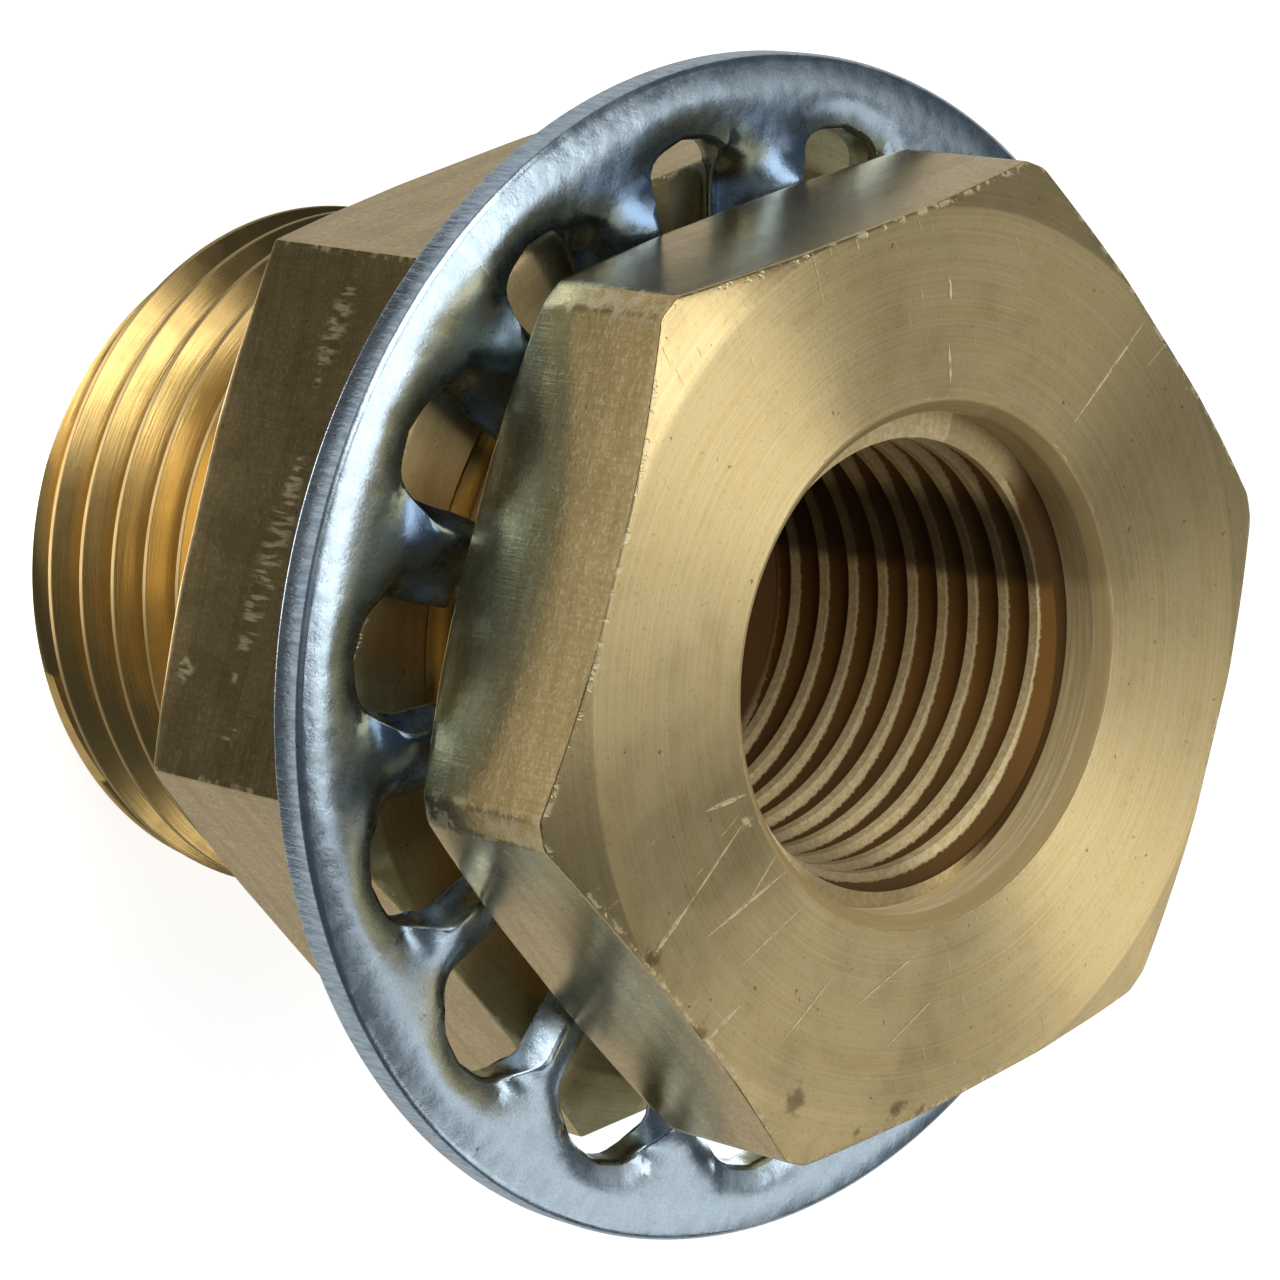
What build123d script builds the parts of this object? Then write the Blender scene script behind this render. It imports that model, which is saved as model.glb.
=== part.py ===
from build123d import *
import os
from math import cos, radians, sin, tan

# A brass bulkhead coupling for an air line: a body turned from hexagon bar, with a pipe-thread port at
# each end and a threaded shank, a lock washer with twisted inner teeth, and the nut that clamps a panel.
# Millimetres. +Z runs along the axis towards the head's face, and the thread end stands on Z = 0.

# Driving dimensions of the body
body_length = 33.0
head_height = 7.0
head_across_flats = 30.16
head_corner_diameter = 34.28
shank_diameter = 25.4
shank_end_chamfer = 0.4

# Driving dimensions of the two pipe-thread ports, at the crests of their threads
port_diameter = 14.6
port_depth = 14.5
port_mouth_diameter = 16.9
port_mouth_depth = 1.6
port_mouth_chamfer = 0.4
passage_diameter = 13.8

# Driving dimensions of the nut
nut_height = 9.53
nut_across_flats = 31.75
nut_angle = 1.0
nut_thread_clearance = 0.05
nut_mouth_chamfer = 0.6

# Driving dimensions of the lock washer
washer_diameter = 41.0
washer_thickness = 1.55
washer_rim_width = 2.75
washer_rim_chamfer = 0.25
window_corner_round = 1.2
tooth_count = 15
tooth_first_angle = 6.0
tooth_width = 3.2
tooth_tip_width = 2.9
tooth_stub_length = 0.05
tooth_root_depth = 0.55
tooth_root_share = 0.4
tooth_twist = 38.0
tooth_tip_clearance = 0.1
washer_shift = 0.72
washer_shift_angle = 16.0

# Chamfers on the hexagons, and the room left where the washer's teeth meet them
hexagon_chamfer_angle = 20.0
hexagon_chamfer_start = 0.12
seat_clearance = 0.05

# Levels along the axis, from the head down through the washer to the nut
head_bottom = body_length - head_height
tooth_lean = radians(tooth_twist)
tooth_half_height = (tooth_width * sin(tooth_lean) + washer_thickness * cos(tooth_lean)) / 2
washer_middle = head_bottom - seat_clearance - tooth_half_height
nut_top = washer_middle - tooth_half_height - seat_clearance
nut_bottom = nut_top - nut_height

# Radii that follow from the shank: the washer hangs to one side by its play on the thread
shank_radius = shank_diameter / 2
tooth_tip_radius = shank_radius + washer_shift + tooth_tip_clearance
nut_corner_radius = nut_across_flats / 2 / cos(radians(30))

# Teeth run in from the stubs between the rim's windows, and their roots taper off inside the rim
window_end_radius = washer_diameter / 2 - washer_rim_width
tooth_neck_radius = window_end_radius - window_corner_round - tooth_stub_length
tooth_root_radius = window_end_radius + tooth_root_depth

# Windows between the teeth: what the teeth leave of the circle that they stand on
tooth_pitch_angle = 360 / tooth_count
tooth_chord = 2 * tooth_neck_radius * tan(radians(tooth_pitch_angle / 2))
window_width = tooth_chord - tooth_width
window_length = 2 * (window_end_radius - tooth_neck_radius)


def turned_hexagon(across_flats, outer_radius, low, high, angle=0):
    """A hexagon prism turned to a round envelope, with both of its faces chamfered."""
    face_radius = across_flats / 2 + hexagon_chamfer_start
    chamfer_depth = (outer_radius - face_radius) * tan(radians(hexagon_chamfer_angle))
    with BuildPart() as prism:
        with BuildSketch(Plane.XY.offset(low)):
            RegularPolygon(across_flats / 2, 6, major_radius=False, rotation=angle)
        extrude(amount=high - low)
        with BuildSketch(Plane.XZ):
            with BuildLine():
                Polyline(
                    (0, low),
                    (face_radius, low),
                    (outer_radius, low + chamfer_depth),
                    (outer_radius, high - chamfer_depth),
                    (face_radius, high),
                    (0, high),
                    close=True,
                )
            make_face()
        revolve(axis=Axis.Z, mode=Mode.INTERSECT)
    return prism.part


def round_edges(part, radius):
    """Circular edges of one radius, lowest first."""
    edges = part.edges().filter_by(GeomType.CIRCLE)
    return edges.filter_by(lambda edge: abs(edge.radius - radius) < 1e-3).sort_by(Axis.Z)


# Body: hexagon head, plain shank at the thread's crest diameter, and a port into each end
head_blank = turned_hexagon(head_across_flats, head_corner_diameter / 2, head_bottom, body_length)
with BuildPart() as coupler_body:
    add(head_blank)
    with BuildSketch(Plane.XY):
        Circle(shank_radius)
    extrude(amount=head_bottom)
    chamfer(round_edges(coupler_body, shank_radius)[0], shank_end_chamfer)
    with Locations(Plane.XY.offset(body_length), Plane.XY.rotated((180, 0, 0))):
        CounterBoreHole(port_diameter / 2, port_mouth_diameter / 2, port_mouth_depth, depth=port_depth)
    with Locations((0, 0, body_length)):
        Hole(passage_diameter / 2)
    mouths = round_edges(coupler_body, port_mouth_diameter / 2)
    chamfer([mouths[0], mouths[-1]], port_mouth_chamfer)

# Nut: chamfered on both faces, bored to run on the shank's crests
nut_blank = turned_hexagon(nut_across_flats, nut_corner_radius, nut_bottom, nut_top, nut_angle)
nut_bore_radius = shank_radius + nut_thread_clearance
with BuildPart() as lock_nut:
    add(nut_blank)
    with Locations((0, 0, nut_top)):
        Hole(nut_bore_radius)
    chamfer(round_edges(lock_nut, nut_bore_radius), nut_mouth_chamfer)

# One tooth along +X, twisted about its own length as it leaves the rim and straight from there on
tooth_across = (0, cos(tooth_lean), -sin(tooth_lean))
tooth_stations = [
    (tooth_root_radius, tooth_width * tooth_root_share, washer_thickness * tooth_root_share),
    (tooth_neck_radius, tooth_width, washer_thickness),
    (tooth_tip_radius, tooth_tip_width, washer_thickness),
]
with BuildPart() as tooth:
    for station, width, thickness in tooth_stations:
        with BuildSketch(Plane((station, 0, 0), x_dir=tooth_across, z_dir=(-1, 0, 0))):
            Rectangle(width, thickness)
    loft(ruled=True)

# Washer: a rim cut by windows, with a tooth on each stub between them
washer_place = Vector(washer_shift, 0, washer_middle).rotate(Axis.Z, washer_shift_angle)
with BuildPart(Plane(washer_place)) as lock_washer:
    with BuildSketch(Plane(washer_place - (0, 0, washer_thickness / 2))):
        Circle(washer_diameter / 2)
        RegularPolygon(
            tooth_neck_radius,
            tooth_count,
            major_radius=False,
            rotation=tooth_first_angle + tooth_pitch_angle / 2,
            mode=Mode.SUBTRACT,
        )
        with PolarLocations(tooth_neck_radius, tooth_count, tooth_first_angle + tooth_pitch_angle / 2):
            RectangleRounded(window_length, window_width, window_corner_round, mode=Mode.SUBTRACT)
    extrude(amount=washer_thickness)
    chamfer(round_edges(lock_washer, washer_diameter / 2), washer_rim_chamfer)
    with PolarLocations(0, tooth_count, tooth_first_angle):
        add(tooth.part)

os.makedirs("parts", exist_ok=True)
for label, piece in (
    ("coupler_body", coupler_body),
    ("lock_washer", lock_washer),
    ("lock_nut", lock_nut),
):
    piece.part.label = label
    export_step(piece.part, f"parts/{label}.step")
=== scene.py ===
"""A brass bulkhead coupling: threaded body, zinc-plated lock washer with twisted teeth, and lock nut."""

import math

import bmesh
import bpy
import numpy as np
from mathutils import Matrix, Vector
from mathutils.kdtree import KDTree


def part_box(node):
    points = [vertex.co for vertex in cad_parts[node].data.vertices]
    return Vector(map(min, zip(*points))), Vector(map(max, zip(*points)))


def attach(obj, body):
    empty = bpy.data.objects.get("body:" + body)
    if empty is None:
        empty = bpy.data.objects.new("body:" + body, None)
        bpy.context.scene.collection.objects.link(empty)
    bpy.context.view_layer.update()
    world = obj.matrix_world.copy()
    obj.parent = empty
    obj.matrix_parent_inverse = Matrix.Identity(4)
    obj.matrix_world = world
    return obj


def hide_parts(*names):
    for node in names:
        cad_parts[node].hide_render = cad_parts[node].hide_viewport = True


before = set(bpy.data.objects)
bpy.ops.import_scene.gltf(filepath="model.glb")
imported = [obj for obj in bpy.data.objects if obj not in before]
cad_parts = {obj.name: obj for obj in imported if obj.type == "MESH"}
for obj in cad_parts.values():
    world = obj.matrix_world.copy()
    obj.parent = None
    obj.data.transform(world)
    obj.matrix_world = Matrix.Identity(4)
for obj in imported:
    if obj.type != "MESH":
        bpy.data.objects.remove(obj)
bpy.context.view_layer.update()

# Everything below is worked out in millimetres and turned into metres when a mesh is made.
MM = 0.001

# Levels and sizes read from the frame
body_low, body_high = (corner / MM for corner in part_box("coupler_body"))
nut_low, nut_high = (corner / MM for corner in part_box("lock_nut"))
washer_low, washer_high = (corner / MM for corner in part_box("lock_washer"))
BODY_LENGTH = body_high.z - body_low.z
HEAD_CORNER_RADIUS = (body_high.x - body_low.x) / 2
HEAD_FLAT_RADIUS = (body_high.y - body_low.y) / 2
NUT_BOTTOM, NUT_TOP = nut_low.z, nut_high.z
WASHER_RADIUS = (washer_high.y - washer_low.y) / 2
WASHER_CENTRE = (washer_low + washer_high) / 2

# Head and nut
HEAD_HEIGHT = 7.0
HEAD_BOTTOM = BODY_LENGTH - HEAD_HEIGHT
NUT_FLAT_RADIUS = 15.875
NUT_CORNER_RADIUS = NUT_FLAT_RADIUS / math.cos(math.radians(30))
NUT_ANGLE = math.radians(1.0)
HEX_CHAMFER_SLOPE = math.tan(math.radians(20.0))
HEX_CHAMFER_START = 0.12
HEX_EDGE_ROUND = 0.09
HEX_EDGE_BEVEL = 0.07
EDGE_SUPPORT = 0.2
FACE_BORDER = 0.12

# Rows of points that round off one corner of an outline: a curve, and a row beside each of its ends
ROUND_STEPS = 3
CORNER_ROWS = ROUND_STEPS + 3

# Shank thread: 14 turns to the inch
SHANK_RADIUS = 12.7
SHANK_PITCH = 25.4 / 14
SHANK_THREAD_DEPTH = 1.08
SHANK_CREST_AT_ZERO = 1.57 + SHANK_PITCH * 71.9 / 360
SHANK_END_CHAMFER = 0.4
SHANK_RUNOUT = 1.2
NUT_THREAD_GAP = 0.06
NUT_MOUTH_CHAMFER = 0.6

# Pipe thread of both ports: 18 turns to the inch, tapered one in sixteen on the diameter
PORT_PITCH = 25.4 / 18
PORT_CREST_RADIUS = 7.42
PORT_TAPER = 1 / 32
PORT_THREAD_DEPTH = 0.78
PORT_DEPTH = 14.5
PORT_SHOULDER = 1.72
PORT_MOUTH_RADIUS = 8.45
PORT_MOUTH_CHAMFER = 0.4
MOUTH_EDGE_ROUND = 0.06
MOUTH_BORDER = 0.1
REAR_RIM = 1.4
BURR_RADIUS = PORT_MOUTH_RADIUS + PORT_MOUTH_CHAMFER + 0.05
PORT_CREST_AT_ZERO = 30.71 - PORT_PITCH * 106.1 / 360
PORT_RUNOUT = 0.6

# Washer
WASHER_THICKNESS = 1.55
WASHER_EDGE_ROUND = 0.2
EDGE_ROLL_WIDTH = 1.5
EDGE_ROLL_DROP = 0.33
WINDOW_END_RADIUS = 17.75
WINDOW_CORNER_ROUND = 1.3
TOOTH_COUNT = 15
TOOTH_FIRST = math.radians(6.0)
TOOTH_WIDTH = 3.2
TOOTH_TIP_WIDTH = 2.9
TOOTH_TIP_RADIUS = 13.53
TOOTH_TWIST = math.radians(38.0)
TWIST_FROM, TWIST_TO = 17.7, 16.1
TWIST_FADE = 1.1
TOOTH_TAPER_FROM = 0.4
RIM_BAND = 0.1
PUNCHED_EDGE_ANGLE = math.radians(60)

# Points along a tooth, across it, round a window's corner and along a window's end
TOOTH_ROWS = 11
TOOTH_COLUMNS = 9
FILLET_POINTS = 7
WINDOW_END_POINTS = 4

# Rows of points across the washer's ring, closer together beside its edges
RING_ROWS = (0.0, 0.08, 0.16, 0.24, 0.33, 0.45, 0.57, 0.67, 0.76, 0.84, 0.92, 1.0)

# Columns of points round the axis, closer together beside the hexagons' corners
CORNER_ZONE = 3.2
CORNER_COLUMNS = 20
FLAT_COLUMNS = 40

# Outlines of one turn of thread: (share of the pitch, height above the root)
SHANK_PROFILE = ((-0.045, 1.0), (0.045, 1.0), (0.24, 0.5), (0.42, 0.0), (0.58, 0.0), (0.76, 0.5))
PORT_PROFILE = ((-0.13, 1.0), (0.13, 1.0), (0.29, 0.5), (0.45, 0.0), (0.55, 0.0), (0.71, 0.5))


def smooth(value, low, high):
    """0 below low, 1 above high, eased between; the two may be in either order."""
    share = np.clip((value - low) / (high - low), 0, 1)
    return share * share * (3 - 2 * share)


def column_angles():
    """Angles of the columns, in radians, starting beside the corner on +X."""
    corner = np.linspace(-CORNER_ZONE, CORNER_ZONE, CORNER_COLUMNS, endpoint=False)
    flat = np.linspace(CORNER_ZONE, 60 - CORNER_ZONE, FLAT_COLUMNS, endpoint=False)
    sector = np.concatenate([corner, flat])
    return np.radians(np.concatenate([sector + 60 * k for k in range(6)]))


ANGLES = column_angles()
TURN = (ANGLES - ANGLES[0]) / math.tau


def wander(seed, waves=9, low=3, high=40):
    """A smooth random line round the axis, about -1 to 1, the same on each run."""
    random = np.random.default_rng(seed)
    line = np.zeros_like(ANGLES)
    for _ in range(waves):
        strength = random.uniform(0.4, 1)
        count = random.integers(low, high)
        line += strength * np.sin(count * ANGLES + random.uniform(0, math.tau))
    return line / np.abs(line).max()


def hexagon_radius(flat_radius, corner_radius, angle=0.0):
    """Distance from the axis to a hexagon's side in each column, with its corners turned round."""
    across = (ANGLES - angle) % math.radians(60) - math.radians(30)
    side = flat_radius / np.cos(across)
    gap = np.clip(1 - np.abs(side - corner_radius) / HEX_EDGE_ROUND, 0, 1)
    return np.minimum(side, corner_radius) - gap * gap * HEX_EDGE_ROUND / 4


def ring(radius, height):
    """One ring of (radius, height) pairs, a pair per column."""
    return np.stack([np.broadcast_to(radius, ANGLES.shape), np.broadcast_to(height, ANGLES.shape)], axis=1)


def rounded(rings, rounds):
    """The rings with each inner one, a corner of the outline, replaced by a small curve."""
    made = [rings[0]]
    for before, corner, after, size in zip(rings, rings[1:], rings[2:], rounds):
        back, on = before - corner, after - corner
        back_length = np.linalg.norm(back, axis=1)
        on_length = np.linalg.norm(on, axis=1)
        cut = np.minimum(np.minimum(back_length, on_length) * 0.4, size)
        start = corner + back * (cut / back_length)[:, None]
        end = corner + on * (cut / on_length)[:, None]
        support_back = np.minimum(cut + EDGE_SUPPORT, back_length * 0.48)
        support_on = np.minimum(cut + EDGE_SUPPORT, on_length * 0.48)
        made.append(corner + back * (support_back / back_length)[:, None])
        for share in np.linspace(0, 1, ROUND_STEPS + 1):
            made.append((1 - share) ** 2 * start + 2 * share * (1 - share) * corner + share**2 * end)
        made.append(corner + on * (support_on / on_length)[:, None])
    made.append(rings[-1])
    return np.array(made)


def corner_row(corner):
    """The row in the middle of a rounded corner, with the outline's inner corners counted from 0."""
    return 1 + CORNER_ROWS * corner + CORNER_ROWS // 2


def thread_height(height, pitch, crest_at_zero, profile):
    """Height of the thread, 0 at its root and 1 at its crest, at a level in each column."""
    phase = (height - crest_at_zero) / pitch - ANGLES / math.tau
    shares = [share for share, _ in profile] + [1 + profile[0][0]]
    levels = [level for _, level in profile] + [profile[0][1]]
    return np.interp((phase - shares[0]) % 1 + shares[0], shares, levels)


def thread_rows(low, high, pitch, crest_at_zero, profile, radius_at):
    """Rings that climb one pitch in each turn, held between two levels."""
    first = crest_at_zero + pitch * ANGLES[0] / math.tau
    start = math.floor((low - first) / pitch) - 1
    stop = math.ceil((high - first) / pitch) + 1
    rows = []
    for turn in range(start, stop):
        for share, _ in profile:
            height = np.clip(first + (turn + share + TURN) * pitch, low, high)
            rows.append(ring(radius_at(height), height))
    return np.array(rows)


def shank_radius(height):
    """The shank's outline: a V thread that starts at a chamfer and runs out below the head."""
    crest = thread_height(height, SHANK_PITCH, SHANK_CREST_AT_ZERO, SHANK_PROFILE)
    depth = SHANK_THREAD_DEPTH * (1 - smooth(height, HEAD_BOTTOM - SHANK_RUNOUT, HEAD_BOTTOM - 0.2))
    radius = SHANK_RADIUS - depth * (1 - crest)
    return np.minimum(radius, SHANK_RADIUS - SHANK_END_CHAMFER + height)


def nut_bore_radius(height):
    """The nut's thread fills the shank's grooves and opens in a chamfer at both faces."""
    crest = thread_height(height, SHANK_PITCH, SHANK_CREST_AT_ZERO, SHANK_PROFILE)
    radius = SHANK_RADIUS - SHANK_THREAD_DEPTH * 0.9 * (1 - crest) + NUT_THREAD_GAP
    from_face = np.minimum(height - NUT_BOTTOM, NUT_TOP - height)
    return np.maximum(radius, SHANK_RADIUS + NUT_THREAD_GAP + NUT_MOUTH_CHAMFER - from_face)


def port_rows(low, high, crest_at_zero, depth_at):
    """One tapered port thread, from its upper end to its lower end."""

    def radius_at(height):
        depth = depth_at(height)
        groove = 1 - thread_height(height, PORT_PITCH, crest_at_zero, PORT_PROFILE)
        groove = groove * (1 - smooth(depth, PORT_DEPTH - PORT_RUNOUT, PORT_DEPTH))
        return PORT_CREST_RADIUS - (depth - PORT_SHOULDER) * PORT_TAPER + groove * PORT_THREAD_DEPTH

    return thread_rows(low, high, PORT_PITCH, crest_at_zero, PORT_PROFILE, radius_at)[::-1]


def front_port_rows():
    """The front port's thread, from the shoulder below its mouth down to the passage."""
    top = BODY_LENGTH - PORT_SHOULDER
    return port_rows(BODY_LENGTH - PORT_DEPTH, top, PORT_CREST_AT_ZERO, lambda height: BODY_LENGTH - height)


def rear_port_rows():
    """The rear port's thread, from the passage down to its mouth: the front one turned end for end."""
    return port_rows(PORT_SHOULDER, PORT_DEPTH, BODY_LENGTH - PORT_CREST_AT_ZERO, lambda height: height)


def stitch(name, zones, materials):
    """One closed mesh from zones of rings: (rings, rows per turn of its thread, material number)."""
    count = len(ANGLES)
    points, faces, numbers = [], [], []
    starts, total = [], 0
    for rings, _, _ in zones:
        starts.append(total)
        total += rings.shape[0] * count
        radius, height = rings[..., 0], rings[..., 1]
        grid = np.stack([radius * np.cos(ANGLES), radius * np.sin(ANGLES), height], axis=-1)
        points.append(grid.reshape(-1, 3))
    columns = np.arange(count)
    for number, (rings, shift, material) in enumerate(zones):
        rows = rings.shape[0]
        ids = starts[number] + np.arange(rows * count).reshape(rows, count)
        seam = ids[np.clip(np.arange(rows) + shift, 0, rows - 1), 0]
        after = np.concatenate([ids[:, 1:], seam[:, None]], axis=1)
        quads = np.stack([ids[:-1], after[:-1], after[1:], ids[1:]], axis=-1).reshape(-1, 4)
        following = starts[(number + 1) % len(zones)] + columns
        bridge = np.stack([ids[-1], np.roll(ids[-1], -1), np.roll(following, -1), following], axis=-1)
        faces.append(np.concatenate([quads, bridge]))
        numbers.append(np.full(len(quads) + count, material))
    mesh = bpy.data.meshes.new(name)
    mesh.from_pydata((np.concatenate(points) * MM).tolist(), [], np.concatenate(faces).tolist())
    mesh.polygons.foreach_set("material_index", np.concatenate(numbers).astype(np.int32))
    return finish_mesh(name, mesh, materials)


def finish_mesh(name, mesh, materials, sharp=32.0):
    """Merges what coincides, turns the faces outwards, and shades smooth across blunt edges."""
    work = bmesh.new()
    work.from_mesh(mesh)
    bmesh.ops.remove_doubles(work, verts=work.verts, dist=2e-5 * MM)
    bmesh.ops.dissolve_degenerate(work, edges=work.edges, dist=1e-5 * MM)
    bmesh.ops.recalc_face_normals(work, faces=work.faces)
    work.to_mesh(mesh)
    work.free()
    for material in materials:
        mesh.materials.append(material)
    mesh.shade_smooth()
    mesh.set_sharp_from_angle(angle=math.radians(sharp))
    piece = bpy.data.objects.new(name, mesh)
    bpy.context.collection.objects.link(piece)
    normals = piece.modifiers.new("normals", "WEIGHTED_NORMAL")
    normals.keep_sharp = True
    return piece


def hexagon_rings(flat_radius, corner_radius, low, high, inner_low, inner_high, angle, seed):
    """Rings up a hexagon's outside, from its lower face to its upper face, with worn edges."""
    side = hexagon_radius(flat_radius, corner_radius, angle)
    face = np.minimum(flat_radius + HEX_CHAMFER_START, side - HEX_EDGE_BEVEL)
    drop = np.maximum((side - face) * HEX_CHAMFER_SLOPE, HEX_EDGE_BEVEL)
    wear = HEX_EDGE_ROUND * (1 + 0.5 * wander(seed))
    wear_low = HEX_EDGE_ROUND * (1 + 0.5 * wander(seed + 1))
    outline = [
        ring(inner_low, low),
        ring(face, low),
        ring(side, low + drop),
        ring(side, high - drop),
        ring(face, high),
        ring(inner_high, high),
    ]
    return rounded(outline, [wear_low, wear_low, wear, wear])


def make_body(face, flats, thread, port):
    """The body: one closed surface, from the shank's end up over the head and down through the ports."""
    end_edge = PORT_MOUTH_RADIUS + PORT_MOUTH_CHAMFER
    shank = thread_rows(0.0, HEAD_BOTTOM, SHANK_PITCH, SHANK_CREST_AT_ZERO, SHANK_PROFILE, shank_radius)
    face_edge = end_edge + FACE_BORDER
    head = hexagon_rings(
        HEAD_FLAT_RADIUS, HEAD_CORNER_RADIUS, HEAD_BOTTOM, BODY_LENGTH, SHANK_RADIUS, face_edge, 0.0, 5
    )
    upper_edge = corner_row(2)
    mouth = rounded(
        [
            ring(end_edge + MOUTH_BORDER, BODY_LENGTH),
            ring(end_edge, BODY_LENGTH),
            ring(PORT_MOUTH_RADIUS, BODY_LENGTH - PORT_MOUTH_CHAMFER),
            ring(PORT_MOUTH_RADIUS, BODY_LENGTH - PORT_SHOULDER),
        ],
        [MOUTH_EDGE_ROUND, MOUTH_EDGE_ROUND],
    )
    rear_mouth = rounded(
        [
            ring(PORT_MOUTH_RADIUS, PORT_SHOULDER),
            ring(PORT_MOUTH_RADIUS, PORT_MOUTH_CHAMFER),
            ring(end_edge, 0.0),
            ring(SHANK_RADIUS - SHANK_END_CHAMFER - REAR_RIM, 0.0),
        ],
        [MOUTH_EDGE_ROUND, MOUTH_EDGE_ROUND],
    )
    zones = [
        (shank, len(SHANK_PROFILE), 2),
        (head[:upper_edge], 0, 1),
        (head[upper_edge:], 0, 0),
        (mouth, 0, 3),
        (front_port_rows(), -len(PORT_PROFILE), 3),
        (rear_port_rows(), -len(PORT_PROFILE), 3),
        (rear_mouth, 0, 0),
    ]
    return stitch("body_turned", zones, [face, flats, thread, port])


def make_nut(face, flats, thread):
    """The nut: a hexagon chamfered on both faces, with its thread in mesh with the shank's."""
    bore = SHANK_RADIUS + NUT_THREAD_GAP + NUT_MOUTH_CHAMFER
    outside = hexagon_rings(
        NUT_FLAT_RADIUS, NUT_CORNER_RADIUS, NUT_BOTTOM, NUT_TOP, bore, bore, NUT_ANGLE, 9
    )
    inside = thread_rows(
        NUT_BOTTOM, NUT_TOP, SHANK_PITCH, SHANK_CREST_AT_ZERO, SHANK_PROFILE, nut_bore_radius
    )
    lower_edge, upper_edge = corner_row(1), corner_row(2)
    zones = [
        (outside[:lower_edge], 0, 0),
        (outside[lower_edge:upper_edge], 0, 1),
        (outside[upper_edge:], 0, 0),
        (inside[::-1], -len(SHANK_PROFILE), 2),
    ]
    return stitch("nut_threaded", zones, [face, flats, thread])


def washer_sector():
    """Points and faces of one flat tooth with its share of the ring, the tooth along +X."""
    half_angle = math.pi / TOOTH_COUNT
    root = WINDOW_END_RADIUS - WINDOW_CORNER_ROUND
    half = TOOTH_WIDTH / 2
    across = np.linspace(-half, half, TOOTH_COLUMNS)
    fillet = np.linspace(0, math.pi / 2, FILLET_POINTS)[1:]
    fillet_x = root + WINDOW_CORNER_ROUND * np.sin(fillet)
    fillet_y = half + WINDOW_CORNER_ROUND * (1 - np.cos(fillet))
    last = WINDOW_END_RADIUS * math.tan(half_angle)
    end_y = np.linspace(fillet_y[-1], last, WINDOW_END_POINTS)[1:]
    side_x = np.concatenate([fillet_x, np.full_like(end_y, WINDOW_END_RADIUS)])
    side_y = np.concatenate([fillet_y, end_y])
    inner = [(x, -y) for x, y in zip(side_x[::-1], side_y[::-1])]
    inner += [(root, y) for y in across]
    inner += list(zip(side_x, side_y))
    inner = np.array(inner)
    rim_angles = np.arctan2(inner[:, 1], inner[:, 0])
    rim = WASHER_RADIUS * np.stack([np.cos(rim_angles), np.sin(rim_angles)], axis=1)
    rows = [inner + (rim - inner) * share for share in RING_ROWS]
    ring_points = np.concatenate(rows)
    width = len(inner)
    faces = []
    for row in range(len(rows) - 1):
        for column in range(width - 1):
            corner = row * width + column
            faces.append((corner, corner + width, corner + width + 1, corner + 1))
    tooth_rows = []
    for share in np.linspace(0, 1, TOOTH_ROWS)[1:]:
        reach = root + (TOOTH_TIP_RADIUS - root) * share
        scale = 1 + (TOOTH_TIP_WIDTH / TOOTH_WIDTH - 1) * smooth(share, TOOTH_TAPER_FROM, 1)
        tooth_rows.append(np.stack([np.full_like(across, reach), across * scale], axis=1))
    first = len(side_x)
    above = [first + column for column in range(len(across))]
    start = len(ring_points)
    for row in range(len(tooth_rows)):
        below = [start + row * len(across) + column for column in range(len(across))]
        for column in range(len(across) - 1):
            faces.append((above[column], above[column + 1], below[column + 1], below[column]))
        above = below
    return np.concatenate([ring_points, *tooth_rows]), faces


def roll_edges(work, outline):
    """Lowers the upper face towards the punched edges, as the punch drew it in."""
    tree = KDTree(len(outline))
    for number, point in enumerate(outline):
        tree.insert(point, number)
    tree.balance()
    for vert in work.verts:
        _, _, distance = tree.find((vert.co.x, vert.co.y, 0))
        near = 1 - min(distance / (EDGE_ROLL_WIDTH * MM), 1)
        share = vert.co.z / (WASHER_THICKNESS * MM) + 0.5
        vert.co.z -= EDGE_ROLL_DROP * MM * near * near * share


def twist_teeth(work):
    """Turns each tooth about its own length, easing in from the ring so that its root swells."""
    step = math.tau / TOOTH_COUNT
    for vert in work.verts:
        angle = math.atan2(vert.co.y, vert.co.x)
        tooth = TOOTH_FIRST + round((angle - TOOTH_FIRST) / step) * step
        turn = Matrix.Rotation(-tooth, 3, "Z")
        point = turn @ vert.co
        twist = TOOTH_TWIST * float(smooth(point.x / MM, TWIST_FROM, TWIST_TO))
        twist *= 1 - float(smooth(abs(point.y) / MM, TOOTH_WIDTH / 2, TOOTH_WIDTH / 2 + TWIST_FADE))
        point = Matrix.Rotation(-twist, 3, "X") @ point
        vert.co = turn.inverted() @ point


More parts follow.
